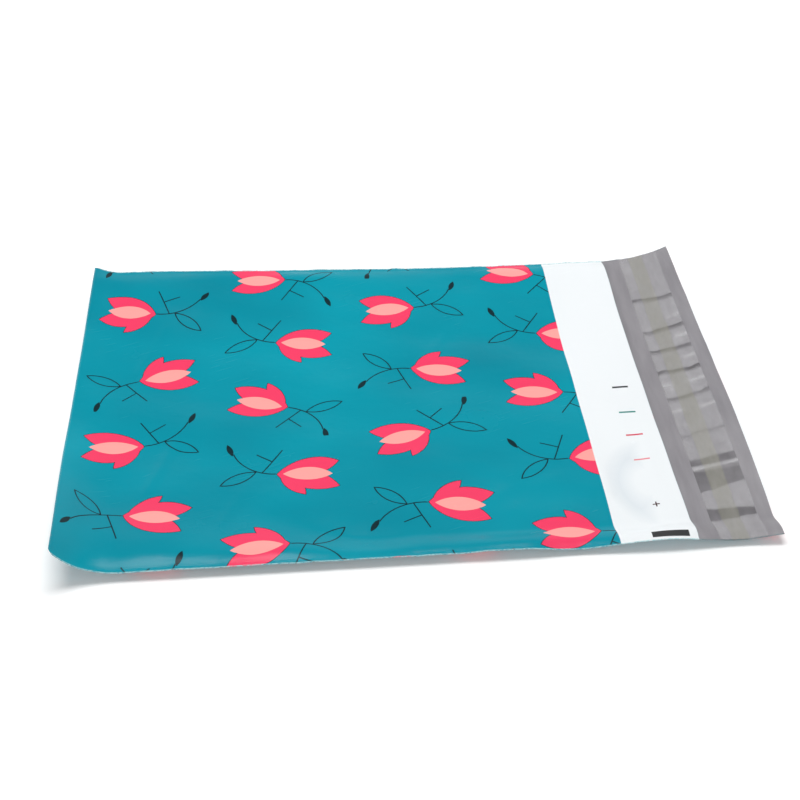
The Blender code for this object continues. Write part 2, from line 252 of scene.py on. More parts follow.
@dataclass(frozen=True)
class Lay:
    """Cut sizes of the bag and the way it lies: curled sides, a lifted corner and end curls."""

    width: float = BAG_WIDTH
    length: float = 0.330
    flap_length: float = 0.044
    side_lift: float = 0.005
    side_flat: float = 0.003
    near_curl_width: float = 0.016
    near_curl_width_fold: float = 0.075
    near_curl_start: float = 0.040
    near_curl_spread: float = 0.130
    far_curl_width: float = 0.075
    far_lift: float = 0.0090
    far_lift_length: float = 0.240
    far_lift_width: float = 0.127
    far_lift_power: float = 1.2
    flap_side_share: float = 0.3
    wave_height: float = 0.0018
    wave_length: float = 0.085
    wave_crest: float = 0.311
    wave_reach: float = 0.110
    fold_curl_length: float = 0.0377
    fold_degrees_near: float = 61.0
    fold_degrees_middle: float = 14.0
    fold_degrees_far: float = 42.0
    flap_curl_length: float = 0.052
    flap_degrees_near: float = 1.5
    flap_degrees_far: float = 30.0
    flap_curl_spread: float = 0.105
    pucker_height: float = 0.00030
    pucker_reach: float = 0.007
    pucker_fade: float = 0.003
    flap_wave_height: float = 0.0006
    weld_grains: tuple[Grain, ...] = (Grain(0.0085, 0.02, 3), Grain(0.0034, 0.01, 4, 0.5))
    flap_grains: tuple[Grain, ...] = (Grain(0.034, 0.045, 5), Grain(0.012, 0.022, 6, 0.35))
    flap_crease: Ridge = Ridge((0.3335, 0.0465), (0.3375, 0.0325), 0.0007, 0.00045)
    normal_step: float = 0.0002

    @property
    def half(self) -> float:
        """Half of the bag's width."""
        return self.width / 2.0

    @property
    def back_length(self) -> float:
        """Length of the back with its flap."""
        return self.length + self.flap_length

    def sides(self, along: Array, across: Array) -> Array:
        """How far the curled sides and the far corner stand up.

        Each side rises by an ease over its curl's width, the near one with a cosine wave along it.
        The corner's lift falls by a power of the distance along and an ease of that across.

        Args:
            along: Distances along the flat bag.
            across: Distances across it.

        Returns:
            Heights above the ground.
        """
        from_near, from_far = across + self.half, self.half - across
        narrowing = ease((along - self.near_curl_start) / self.near_curl_spread)
        at_fold = self.near_curl_width_fold
        near_width = at_fold + (self.near_curl_width - at_fold) * narrowing
        near_side = ease((near_width + self.side_flat - from_near) / near_width)
        far_side = ease((self.far_curl_width + self.side_flat - from_far) / self.far_curl_width)
        from_crest = np.abs(along - self.wave_crest)
        wave = (np.cos(2.0 * np.pi * from_crest / self.wave_length)
                * ease(2.0 - 2.0 * from_crest / self.wave_reach))
        near_lift = near_side * (self.side_lift + self.wave_height * wave)
        corner = held(1.0 - along / self.far_lift_length) ** self.far_lift_power
        corner = corner * ease(along / self.fold_curl_length)
        corner_lift = self.far_lift * corner * ease(1.0 - from_far / self.far_lift_width)
        on_flap = ease((along - (self.back_length - self.flap_curl_length)) / self.flap_curl_length)
        far_share = 1.0 + (self.flap_side_share - 1.0) * on_flap
        return near_lift + corner_lift + self.side_lift * far_side * far_share

    def puckers(self, along: Array, across: Array) -> Array:
        """Small unevenness of both panels: noise that dies away from the welds, waves on the flap.

        Args:
            along: Distances along the flat bag.
            across: Distances across it.

        Returns:
            Heights to add.
        """
        from_edge = np.minimum(across + self.half, self.half - across)
        weld = total(self.weld_grains, along, across) * np.exp(-from_edge / self.pucker_reach)
        flap = total(self.flap_grains, across, along)
        on_flap = ease((along - self.length) / self.flap_length)
        return (self.pucker_height * weld + self.flap_wave_height * flap * on_flap
                + self.flap_crease.over(along, across))

    def under(self, along: Array, across: Array) -> Array:
        """Underside of the back: an arc at each end, whose angle eases from side to middle.

        Args:
            along: Distances along the flat bag.
            across: Distances across it.

        Returns:
            Points, with the bottom fold's flat place at X 0.
        """
        middle = self.fold_degrees_middle
        fold_degrees = (middle + (self.fold_degrees_near - middle) * ease(-across / self.half)
                        + (self.fold_degrees_far - middle) * ease(across / self.half))
        rising = ease((across + self.half) / self.flap_curl_spread)
        flap_degrees = (self.flap_degrees_near
                        + (self.flap_degrees_far - self.flap_degrees_near) * rising)
        fold_run = np.clip(self.fold_curl_length - along, 0.0, None)
        flap_run = np.clip(along - (self.back_length - self.flap_curl_length), 0.0, None)
        x, z = along, self.sides(along, across)
        for way, run, length, degrees in ((1.0, fold_run, self.fold_curl_length, fold_degrees),
                                          (-1.0, flap_run, self.flap_curl_length, flap_degrees)):
            radius = length / np.radians(degrees)
            x = x + way * (run - radius * np.sin(run / radius))
            z = z + radius * (1.0 - np.cos(run / radius))
        z = z + self.puckers(along, across) * held(z / self.pucker_fade)
        return np.stack([x, across + 0.0 * x, z], axis=-1)

    def place(self, along: Array, across: Array, height: Array) -> Array:
        """Points at a height above the back's underside, along its normal, in the bag's own frame.

        Args:
            along: Distances along the flat bag.
            across: Distances across it.
            height: Heights above the underside.

        Returns:
            The points.
        """
        step = self.normal_step
        down_bag = self.under(along + step, across) - self.under(along - step, across)
        over_bag = self.under(along, across + step) - self.under(along, across - step)
        normal = np.cross(down_bag, over_bag)
        normal /= np.linalg.norm(normal, axis=-1, keepdims=True)
        points = self.under(along, across) + normal * height[..., None]
        ends = self.under(np.array([[0.0], [self.back_length]]),
                          np.linspace(-self.half, self.half, 41)[None, :])
        points[..., 0] -= (ends[..., 0].min() + ends[..., 0].max()) / 2.0
        return points


# Finishes


def operator(operation: str, swapped: bool = False) -> Callable[["Wire", "Term"], "Wire"]:
    """An operator on wires that adds a Math node.

    Args:
        operation: What the node does.
        swapped: Whether the wire is the second of the node's two values.

    Returns:
        The operator.
    """
    def operate(wire: "Wire", other: "Term") -> "Wire":
        return wire.tree.math(operation, *((other, wire) if swapped else (wire, other)))
    return operate


@dataclass(frozen=True)
class Wire:
    """A value that flows through a tree's nodes. Arithmetic on it adds Math nodes."""

    tree: "Tree"
    socket: NodeSocket

    __add__ = operator("ADD")
    __sub__ = operator("SUBTRACT")
    __rsub__ = operator("SUBTRACT", swapped=True)
    __mul__ = operator("MULTIPLY")
    __rmul__ = operator("MULTIPLY", swapped=True)
    __truediv__ = operator("DIVIDE")
    most = operator("MAXIMUM")
    least = operator("MINIMUM")

    def __abs__(self) -> "Wire":
        """Size without its sign."""
        return self.tree.math("ABSOLUTE", self)

    def floor(self) -> "Wire":
        """The whole number below."""
        return self.tree.math("FLOOR", self)

    def odd(self) -> "Wire":
        """1 where a whole number is odd, otherwise 0."""
        return self.tree.math("FLOORED_MODULO", self, 2.0)

    def held(self) -> "Wire":
        """The value, held between 0 and 1."""
        return self.tree.math("ADD", self, 0.0, clamp=True)

    def stretched(self, gain: float, shift: float) -> "Wire":
        """The value times a gain and plus a shift, held between 0 and 1."""
        return self.tree.math("MULTIPLY_ADD", self, gain, shift, clamp=True)

    def between(self, low: float, high: float) -> "Wire":
        """A value between 0 and 1, spread over a range."""
        return self * (high - low) + low

    def inside(self, blur: float = 0.00014) -> "Wire":
        """1 where a distance to a shape is negative, otherwise 0, with ink's soft edge."""
        return self.stretched(-1.0 / blur, 0.5)


Term = Wire | float
Inputs = dict[str | int, Term | Colour]


class Tree:
    """A node tree, with a short way to write each kind of node."""

    def __init__(self, owner: Material | World) -> None:
        """Open the tree of a material or a world."""
        owner.use_nodes = True
        self.nodes, self.links = owner.node_tree.nodes, owner.node_tree.links

    def feed(self, socket: NodeSocket, term: Term | Colour) -> None:
        """Link a wire to a socket, or set the number or colour on it."""
        if isinstance(term, Wire):
            self.links.new(term.socket, socket)
        else:
            socket.default_value = (*term, 1.0) if isinstance(term, tuple) else term

    def add(self, kind: str, inputs: Inputs | None = None, output: str | int = 0,
            **settings: str | bool) -> Wire:
        """Add a node.

        Args:
            kind: The node's type, without the words that all types start with.
            inputs: What its sockets are fed with.
            output: The socket that the result comes from.
            **settings: Its settings.

        Returns:
            The result.
        """
        node = self.nodes.new(f"ShaderNode{kind}")
        for name, value in settings.items():
            setattr(node, name, value)
        for name, term in (inputs or {}).items():
            self.feed(node.inputs[name], term)
        return Wire(self, node.outputs[output])

    def math(self, operation: str, *terms: Term, clamp: bool = False) -> Wire:
        """A Math node's result for one, two or three values, which may be held from 0 to 1."""
        return self.add("Math", dict(enumerate(terms)), operation=operation, use_clamp=clamp)

    def mix(self, share: Term, first: Wire | Colour, second: Wire | Colour) -> Wire:
        """A colour between two others: the first where the share is 0, the second where it is 1."""
        return self.add("Mix", {0: share, 6: first, 7: second}, 2, data_type="RGBA")

    def sweep(self, value: Wire, start: Pair, end: Pair) -> Wire:
        """A smooth step from one number to another.

        Args:
            value: What the step follows.
            start: Where the step begins, and the number before it.
            end: Where the step ends, and the number after it.

        Returns:
            The number.
        """
        inputs = {"Value": value, "From Min": start[0], "From Max": end[0],
                  "To Min": start[1], "To Max": end[1]}
        return self.add("MapRange", inputs, interpolation_type="SMOOTHSTEP")


@dataclass(frozen=True)
class Plane:
    """Two coordinates in metres, for noise and shapes. A shape is a distance, negative inside."""

    tree: Tree
    x: Wire
    y: Wire

    def noise(self, scale: Pair, detail: float, seed: float) -> Wire:
        """Noise between 0 and 1.

        Args:
            scale: Grains to the metre in the two directions.
            detail: How many finer layers are added.
            seed: Which noise.

        Returns:
            The noise.
        """
        place = self.tree.add("CombineXYZ", {0: self.x * scale[0], 1: self.y * scale[1], 2: seed})
        return self.tree.add("TexNoise", {"Vector": place, "Scale": 1.0, "Detail": detail}, "Fac",
                             noise_dimensions="3D")

    def turned(self, at: Pair, degrees: Term) -> "Plane":
        """The plane with its origin moved to a point and its axes turned.

        Args:
            at: The new origin.
            degrees: How far it is turned: a number in degrees, or a wire in radians.

        Returns:
            The new plane.
        """
        x, y = self.x - at[0], self.y - at[1]
        if isinstance(degrees, Wire):
            c, s = self.tree.math("COSINE", degrees), self.tree.math("SINE", degrees)
        else:
            c, s = float(np.cos(np.radians(degrees))), float(np.sin(np.radians(degrees)))
        return Plane(self.tree, x * c + y * s, y * c - x * s)

    def reach(self) -> Wire:
        """Distance from the origin."""
        return self.tree.math("SQRT", self.x * self.x + (self.y * self.y))

    def petal(self, at: Pair, degrees: float, size: Pair) -> Wire:
        """Distance to a pointed petal: the space that two circles share.

        Args:
            at: The petal's middle.
            degrees: The direction of its points.
            size: Half its length and half its width.

        Returns:
            The distance.
        """
        spot = self.turned(at, degrees)
        radius = (size[0] ** 2 + size[1] ** 2) / (2.0 * size[1])
        return Plane(self.tree, spot.x, abs(spot.y) + (radius - size[1])).reach() - radius

    def stroke(self, start: Pair, end: Pair, width: float) -> Wire:
        """Distance to a straight line of some width with round ends.

        Args:
            start: One end.
            end: The other end.
            width: Its width.

        Returns:
            The distance.
        """
        dx, dy = end[0] - start[0], end[1] - start[1]
        middle = ((start[0] + end[0]) / 2.0, (start[1] + end[1]) / 2.0)
        spot = self.turned(middle, float(np.degrees(np.arctan2(dy, dx))))
        beyond = (abs(spot.x) - float(np.hypot(dx, dy)) / 2.0).most(0.0)
        return Plane(self.tree, beyond, spot.y).reach() - width / 2.0

    def arc(self, at: Pair, radius: float, span: Pair, width: float) -> Wire:
        """Distance to a curved line: part of a circle, between two directions in degrees.

        Args:
            at: The circle's middle.
            radius: Its radius.
            span: The first and last directions.
            width: The line's width.

        Returns:
            The distance.
        """
        spot = self.turned(at, (span[0] + span[1]) / 2.0)
        half_turn = float(np.radians(span[1] - span[0])) / 2.0
        beyond = (abs(self.tree.math("ARCTAN2", spot.y, spot.x)) - half_turn) * radius
        return (abs(spot.reach() - radius) - width / 2.0).most(beyond)

    def block(self, at: Pair, size: Pair) -> Wire:
        """Distance to an upright rectangle of a middle and a full size."""
        return (abs(self.x - at[0]) - size[0] / 2.0).most(abs(self.y - at[1]) - size[1] / 2.0)


class FinishTree(Tree):
    """The node tree of one finish, a Principled shader."""

    def __init__(self, name: str) -> None:
        """Make a material of that name."""
        self.material = bpy.data.materials.new(name)
        super().__init__(self.material)
        self.shader = self.nodes["Principled BSDF"]

    def show(self, **looks: Term | Colour) -> None:
        """Feed the shader's sockets. Their names are given with low lines for spaces."""
        for name, term in looks.items():
            self.feed(self.shader.inputs[name.replace("_", " ")], term)

    def film(self) -> Plane:
        """The flat film's plane: distances along and across it."""
        place = self.add("UVMap", output="UV", uv_map="FlatFilm")
        return Plane(self, *(self.add("SeparateXYZ", {0: place}, axis) for axis in "XY"))

    def bump(self, *layers: tuple[Wire, float]) -> None:
        """Turn the shader's normal by height maps from 0 to 1, each with its height in metres."""
        above: Inputs = {}
        for height, metres in layers:
            above = {"Normal": self.add("Bump", {"Height": height, "Distance": metres, **above})}
        self.show(**above)


class Finish:
    """A finish, painted by each kind in its own way."""

    name = ""

    def make(self) -> Material:
        """Make the finish.

        Returns:
            The material.
        """
        tree = FinishTree(self.name)
        self.paint(tree, tree.film())
        return tree.material

    def paint(self, tree: FinishTree, film: Plane) -> None:
        """Add the finish's nodes.

        Args:
            tree: The finish's tree.
            film: The flat film's plane.
        """
        raise NotImplementedError


class Mark(Enum):
    """Press marks on the unprinted strip: middle and size along and across, and colour."""

    BLACK_DASH = ((0.31625, 0.00057), (0.0093, 0.00145), (0.012, 0.012, 0.014))
    TEAL_DASH = ((0.31605, -0.02088), (0.0096, 0.00125), (0.010, 0.220, 0.190))
    RED_DASH = ((0.31575, -0.04103), (0.0095, 0.00125), (0.620, 0.030, 0.070))
    PINK_DASH = ((0.31555, -0.06107), (0.0087, 0.00100), (0.780, 0.230, 0.260))
    CROSS_BAR = ((0.31526, -0.09652), (0.0038, 0.00075), (0.060, 0.020, 0.025))
    CROSS_POST = ((0.31526, -0.09652), (0.00070, 0.0036), (0.060, 0.020, 0.025))
    BLOCK = ((0.31600, -0.12280), (0.0192, 0.00400), (0.012, 0.012, 0.013))


Petal = tuple[Pair, float, Pair]


@dataclass(frozen=True)
class PrintedFilm(Finish):
    """Outside of the film: teal ground, pink buds on black stems, and a bare strip with marks."""

    name = "printed_film"
    ground: Colour = (0.0006, 0.320, 0.415)
    ground_deep: Colour = (0.0003, 0.232, 0.315)
    bud: Colour = (0.890, 0.052, 0.135)
    heart: Colour = (0.960, 0.375, 0.350)
    line: Colour = (0.004, 0.012, 0.015)
    bare: Colour = (0.860, 0.893, 0.910)
    bare_fade: Colour = (0.965, 0.970, 0.975)
    # painted shade of the soft dent in the bare strip
    dent_shade: Colour = (0.630, 0.695, 0.745)
    strained: Colour = (0.400, 0.640, 0.665)
    dust: Colour = (0.5, 0.6, 0.62)
    cell: Pair = (0.0700, 0.0500)
    print_scale: float = 1.14
    band: Pair = (0.290, 0.330)
    line_width: float = 0.00062
    bud_petals: tuple[Petal, ...] = (
        ((0.0120, 0.0046), 17.0, (0.0155, 0.0062)),
        ((0.0118, -0.0040), -15.0, (0.0150, 0.0060)),
        ((0.0050, 0.0074), 52.0, (0.0100, 0.0036)))
    heart_petal: Petal = ((0.0118, 0.0003), 2.0, (0.0118, 0.0044))
    leaf: Petal = ((-0.0210, 0.0030), 148.0, (0.0095, 0.0030))
    tip: Petal = ((-0.0262, -0.0172), 68.0, (0.0042, 0.0014))
    stem: tuple[Pair, float, Pair] = ((-0.0030, -0.0232), 0.0230, (91.0, 158.0))
    twigs: tuple[tuple[Pair, Pair], ...] = (
        ((-0.0100, -0.0012), (-0.0010, -0.0165)), ((-0.0055, -0.0090), (-0.0130, -0.0140)))
    dent: tuple[Pair, float, Pair] = ((0.4560, -0.0790), 0.0215, (112.0, 242.0))
    dent_stretch: float = 1.45

    def motif(self, film: Plane) -> Wire:
        """The print's colour: one bud in each cell, the columns dropped by half a cell in turn.

        Cells are mirrored in turn and each is turned by a small angle of its own. A shape's colour
        covers what lies under it.

        Args:
            film: The flat film's plane.

        Returns:
            The colour.
        """
        tree = film.tree
        worn = film.noise((900.0, 900.0), 2.0, 4.0)
        unevenness = film.noise((9.0, 14.0), 2.0, 1.0)
        u, v = film.x / self.print_scale, film.y / self.print_scale
        column = (u / self.cell[0]).floor()
        dropped = v + column.odd() * (self.cell[1] / 2.0)
        row = (dropped / self.cell[1]).floor()
        x = (u - (column + 0.5) * self.cell[0]) * (1.0 - 2.0 * (column + row).odd())
        y = (dropped - (row + 0.5) * self.cell[1]) * (1.0 - 2.0 * row.odd())
        chance = tree.add("TexWhiteNoise", {"Vector": tree.add("CombineXYZ", {0: column, 1: row})},
                          "Value", noise_dimensions="2D")
        cell = Plane(tree, x, y).turned((0.0, 0.0), (chance - 0.5) * 0.5)

        upper, lower, side = (cell.petal(*petal) for petal in self.bud_petals)
        bud = upper.least(lower).least(side)
        lines = cell.arc(*self.stem, self.line_width)
        lines = lines.least(abs(cell.petal(*self.leaf)) - self.line_width / 2.0)
        for twig in self.twigs:
            lines = lines.least(cell.stroke(*twig, self.line_width))
        lines = lines.least(cell.petal(*self.tip)).inside() * worn.between(0.90, 1.0)

        colour = tree.mix(unevenness.stretched(2.0, -0.5), self.ground, self.ground_deep)
        for share, ink in ((lines, self.line), ((bud - self.line_width / 2.0).inside(), self.line),
                           (bud.inside(), self.bud),
                           (cell.petal(*self.heart_petal).inside(), self.heart)):
            colour = tree.mix(share, colour, ink)
        return colour

    def strip(self, film: Plane) -> Wire:
        """Colour of the unprinted strip, with painted shade of its soft dent, and its marks.

        Args:
            film: The flat film's plane.

        Returns:
            The colour.
        """
        tree = film.tree
        faded = tuple(part * fade for part, fade in zip(self.bare, self.bare_fade))
        colour = tree.mix(film.noise((22.0, 12.0), 2.0, 2.0), self.bare, faded)
        dent = Plane(tree, film.x * self.dent_stretch, film.y).arc(*self.dent, 0.0010)
        # painted shade: a blue-grey tint that fades away from the dent's arc
        colour = tree.mix((dent - 0.0030).inside(0.0170) * 0.75, colour, self.dent_shade)
        for mark in Mark:
            at, size, ink = mark.value
            colour = tree.mix(film.block(at, size).inside() * 0.96, colour, ink)
        return colour

    def paint(self, tree: FinishTree, film: Plane) -> None:
        """Print the film, and roughen its welds and its fold."""
        start, end = self.band
        on_band = film.block(((start + end) / 2.0, 0.0), (end - start, 1.0)).inside(0.00030)
        colour = tree.mix(on_band, self.motif(film), self.strip(film))

        grain = film.noise((2600.0, 2600.0), 2.0, 5.0)
        rough_weld = film.noise((700.0, 1100.0), 3.0, 6.0)
        from_edge = BAG_WIDTH / 2.0 - abs(film.y)
        bead = (from_edge - 0.00075).inside(0.0005) * rough_weld.stretched(3.2, -0.85)
        fold = (abs(film.x) - 0.0007).inside(0.0008) * rough_weld.stretched(2.0, -0.5) * 0.35
        colour = tree.mix(bead.most(fold), colour, self.strained)
        slanting = Plane(tree, film.x + film.y * 0.35, film.y - film.x * 0.35)
        scuffs = slanting.noise((45.0, 900.0), 2.0, 7.0).stretched(1.6, -0.95)
        rough = film.noise((28.0, 28.0), 3.0, 8.0).between(0.20, 0.31) + scuffs * 0.07
        tree.show(Base_Color=tree.mix(grain * 0.003, colour, self.dust),
                  Roughness=rough + bead * 0.2, Specular_IOR_Level=0.14)

        near_weld = (from_edge - 0.0024).inside(0.0030)
        machine_lines = film.noise((420.0, 7.0), 2.0, 9.0)
        tree.bump((film.noise((75.0, 110.0), 2.0, 10.0), 0.00022), (machine_lines, 0.000012),
                  (grain, 0.000010), (rough_weld * near_weld, 0.00025))


@dataclass(frozen=True)
class InnerFilm(Finish):
    """Inside of the film: satin grey."""

    name = "inner_film"
    grey: Colour = (0.295, 0.284, 0.303)
    grey_deep: Colour = (0.225, 0.215, 0.232)
    melted: Colour = (0.10, 0.19, 0.20)
    dust: Colour = (0.6, 0.6, 0.62)

    def paint(self, tree: FinishTree, film: Plane) -> None:
        """Cloud the grey, and darken it where the edge was melted."""
        cloud = film.noise((150.0, 26.0), 4.0, 1.0)
        grain = film.noise((2400.0, 2400.0), 2.0, 2.0)
        colour = tree.mix(cloud.stretched(2.4, -0.7), self.grey, self.grey_deep)
        bead = (BAG_WIDTH / 2.0 - abs(film.y) - 0.0007).inside(0.0005)
        bead = bead * film.noise((700.0, 1100.0), 3.0, 6.0).stretched(2.5, -0.6)
        colour = tree.mix(bead * 0.8, colour, self.melted)
        tree.show(Base_Color=tree.mix(grain * 0.07, colour, self.dust),
                  Roughness=cloud.between(0.30, 0.44), Specular_IOR_Level=0.22)
        tree.bump((film.noise((420.0, 8.0), 2.0, 3.0), 0.00002), (grain, 0.00001),
                  (film.noise((140.0, 60.0), 2.0, 4.0), 0.00030))


@dataclass(frozen=True)
class HotMelt(Finish):
    """Glue: tacky, yellowish grey, with specks and bubbles."""

    name = "hot_melt"
    glue: Colour = (0.300, 0.294, 0.268)
    thick: Colour = (0.250, 0.243, 0.210)
    bubble: Colour = (0.45, 0.44, 0.40)

    def paint(self, tree: FinishTree, film: Plane) -> None:
        """Darken the glue where it is thick, and strew bubbles over it."""
        flow = film.noise((500.0, 90.0), 3.0, 1.0)
        bubbles = film.noise((1900.0, 1900.0), 1.0, 2.0).stretched(9.0, -6.0)
        colour = tree.mix(flow.stretched(1.8, -0.4), self.glue, self.thick)
        tree.show(Base_Color=tree.mix(bubbles * 0.35, colour, self.bubble),
                  Roughness=flow.between(0.28, 0.5))
        tree.bump((flow, 0.0001), (bubbles, 0.00005))


@dataclass(frozen=True)
class ClearLiner(Finish):
    """Release liner: clear film, milky where it stands off the film below, with painted shade in
    its creases and painted glints.
    """

    name = "liner_film"
    milk: Colour = (0.650, 0.643, 0.662)
    # painted shade for the creases and the stuck places
    painted_shade: Colour = (0.018, 0.017, 0.018)
    # painted glints on the liner
    glint: Colour = (0.900, 0.900, 0.910)
    dust: Colour = (0.42, 0.42, 0.44)

    def paint(self, tree: FinishTree, film: Plane) -> None:
        """Read what the mesh keeps for each vertex as milk, painted crease shade and painted
        glints.
        """
        cloud = film.noise((150.0, 75.0), 4.0, 1.0)
        haze, dark, glint = (tree.add("Attribute", output="Fac", attribute_name=name)
                             for name in ("haze", "painted_shade", "glint"))
        # painted shade over the creases and the stuck places
        colour = tree.mix(dark.held(), self.milk, self.painted_shade)
        # painted glints over the milk and the shade
        colour = tree.mix(glint.held(), colour, self.glint)
        tree.show(Base_Color=tree.mix(cloud * 0.1, colour, self.dust),
                  Alpha=(haze * cloud.between(0.20, 1.80) + glint * 0.16).held(),
                  Roughness=cloud.between(0.14, 0.26), Specular_IOR_Level=0.40)
        tree.bump((film.noise((30.0, 260.0), 2.0, 3.0), 0.00012),
                  (film.noise((900.0, 900.0), 2.0, 4.0), 0.00002))


# The bag's pieces


@dataclass(frozen=True)
class MailerFilm:
    """The folded film: back with flap, front, the rounded fold and the two welded, cut sides."""

    lay: Lay
    film: float = 0.00006
    weld_width: float = 0.0018
    bead_width: float = 0.0006
    bead_thickness: float = 0.00036
    fold_length: float = 0.0009
    fold_thickness: float = 0.00022
    corner_length: float = 0.0030
    corner_depth: float = 0.0020
    pocket_gap: float = 0.0013
    pocket_margin: float = 0.010
    pocket_ripple: float = 0.0007
    least_gap: float = 0.00015
    ripple_length: float = 0.096
    ripple_width: float = 0.083
    ripple_skew_along: float = 0.6
    ripple_skew_across: float = 0.35
    mouth_lift: float = 0.0006
    mouth_lift_length: float = 0.030
    grains: tuple[Grain, ...] = (
        Grain(0.045, 0.038, 11, 0.00045), Grain(0.016, 0.019, 12, 0.00016))
    creases: tuple[Ridge, ...] = (
        Ridge((0.045, -0.075), (0.062, -0.020), 0.0030, 0.00045),
        Ridge((0.085, -0.100), (0.100, -0.065), 0.0022, 0.00035),
        Ridge((0.030, 0.020), (0.050, 0.075), 0.0026, -0.00035),
        Ridge((0.190, 0.010), (0.235, 0.085), 0.0030, 0.00030),
        Ridge((0.225, -0.085), (0.275, -0.060), 0.0035, -0.00035),
        Ridge((0.3000, -0.056), (0.2975, -0.094), 0.0046, -0.00130),
        Ridge((0.2965, -0.082), (0.3110, -0.104), 0.0044, -0.00130),
        Ridge((0.3185, -0.088), (0.3215, -0.030), 0.0040, 0.00045))
    curled_end: float = 0.050
    band_start: float = 0.285
    near_fine: float = 0.0215
    far_fine: float = 0.0140
    lumps: Grain = Grain(0.0021, 0.5, 21, 0.35)

    def rows(self) -> Array:
        """Distances along the bag of the grid's rows: close at the fold, curls and mouth."""
        nose = self.fold_length * (1.0 - np.cos(np.linspace(0.0, np.pi / 2.0, 6)))
        stops = (self.fold_length, self.curled_end, self.band_start, self.lay.length,
                 self.lay.back_length)
        spans = zip(stops, stops[1:], (37, 113, 33, 35))
        return np.concatenate([nose, *(np.linspace(*span)[1:] for span in spans)])

    def columns(self) -> tuple[Array, int]:
        """Distances across the bag of the grid's columns, and how many lie on bead and weld."""
        bead = self.bead_width * (1.0 - np.cos(np.linspace(0.0, np.pi, 7))) / 2.0
        weld = np.concatenate([bead, [0.0011, self.weld_width]])
        half = self.lay.half
        near = -half + np.linspace(self.weld_width, self.near_fine, 16)[1:]
        middle = np.linspace(-half + self.near_fine, half - self.far_fine, 50)[1:-1]
        far = half - np.linspace(self.far_fine, self.weld_width, 7)[:-1]
        columns = np.concatenate([-half + weld, near, middle, far, half - weld[::-1]])
        return columns, len(weld)

    def gap(self, along: Array, across: Array) -> Array:
        """Air between the panels: a quarter sine from welds and fold, with ripples and dents.

        Args:
            along: Distances along the flat bag.
            across: Distances across it.

        Returns:
            The gap, nothing where the panels are joined.
        """
        from_weld = (self.lay.half - self.weld_width - np.abs(across)) / self.pocket_margin
        from_fold = (along - self.fold_length) / self.pocket_margin
        edge = np.sin(held(from_weld) * np.pi / 2.0) * np.sin(held(from_fold) * np.pi / 2.0)
        steps_along, steps_across = along / self.ripple_length, across / self.ripple_width
        waves_along = steps_along + self.ripple_skew_along * steps_across
        waves_across = steps_across - self.ripple_skew_across * steps_along
        ripple = np.sin(2.0 * np.pi * waves_along) * np.cos(2.0 * np.pi * waves_across)
        lift_start = self.lay.length - self.mouth_lift_length
        mouth = ease((along - lift_start) / self.mouth_lift_length)
        air = (self.pocket_gap + self.pocket_ripple * ripple + self.mouth_lift * mouth
               + total(self.grains, along, across) + total(self.creases, along, across))
        return edge * np.clip(air, self.least_gap, None)

    def heights(self, along: Array, across: Array) -> tuple[Array, Array, Array, Array]:
        """Heights of the four faces of the film above the lay.

        The fold is half an ellipse of its thickness, and the bead half an ellipse that stands up.

        Args:
            along: Distances along the flat bag.
            across: Distances across it.

        Returns:
            Heights of the underside, the back's inner face, the front's inner face and its top.
        """
        floor = np.full(along.shape, self.film)
        ceiling = floor + self.gap(along, across)
        from_edge = np.clip(self.lay.half - np.abs(across), 0.0, None)
        over_bead = 1.0 - 2.0 * held(from_edge / self.bead_width)
        lumps = 0.85 + self.lumps.over(along, np.sign(across))
        bead = self.bead_thickness * np.sqrt(held(1.0 - over_bead ** 2)) * lumps
        two_films = 2.0 * self.film
        bead = np.maximum(bead, two_films * ease(2.0 * from_edge / self.bead_width))
        top = np.where(from_edge < self.bead_width * 0.999, bead, ceiling + self.film)
        nose = held(along / self.fold_length)
        swell = np.sqrt(held(1.0 - (1.0 - nose) ** 2))
        thick = self.fold_thickness + (two_films - self.fold_thickness) * ease(nose)
        on_nose = along < self.fold_length * 0.999
        under = np.where(on_nose, thick * (1.0 - swell) / 2.0, 0.0)
        top = np.where(on_nose, np.minimum(top, thick * (1.0 + swell) / 2.0), top)
        return under, floor, ceiling, np.where(from_edge < 1e-7, under, top)

    def build(self) -> Object:
        """Make the film's four faces as grids that share their vertices where it is joined.

        Returns:
            The film's object.
        """
        rows, (columns, weld) = self.rows(), self.columns()
        along, across = np.meshgrid(rows, columns, indexing="ij")
        corner = self.corner_depth * held(1.0 - along / self.corner_length)
        drawn_in = across * (1.0 - corner / self.lay.half)
        fold_row = int(np.argmin(np.abs(rows - self.fold_length)))
        mouth_row = int(np.argmin(np.abs(rows - self.lay.length)))
        inner, pocket = slice(weld - 1, len(columns) - weld + 1), slice(fold_row, mouth_row + 1)

        skin = Skin()
        under, floor, ceiling, top = (
            skin.add_points(self.lay.place(along, drawn_in, height), along, drawn_in)
            for height in self.heights(along, across))
        top[0] = under[0]
        for edge in (0, -1):
            top[:, edge] = under[:, edge]
            floor[:, edge] = under[:, edge]
        ceiling[fold_row] = floor[fold_row]
        for joined in (weld - 1, len(columns) - weld):
            ceiling[:, joined] = floor[:, joined]

        skin.add_faces(grid_faces(under, False), -1.0)
        skin.add_faces(grid_faces(top[:mouth_row + 1], True), 1.0)
        skin.add_faces(grid_faces(floor[pocket, inner], True), -1.0, 1)
        skin.add_faces(grid_faces(floor[mouth_row:], True), -1.0, 1)
        skin.add_faces(grid_faces(ceiling[pocket, inner], False), 1.0, 1)
        skin.add_faces(strip_faces(ceiling[mouth_row, inner], top[mouth_row, inner]), 1.0)
        for welded in (slice(0, weld), slice(len(columns) - weld, len(columns))):
            skin.add_faces(strip_faces(floor[mouth_row, welded], top[mouth_row, welded]), 1.0)
        skin.add_faces(strip_faces(under[-1], floor[-1]), -1.0)
        return skin.make_object("mailer_film", 48.0)

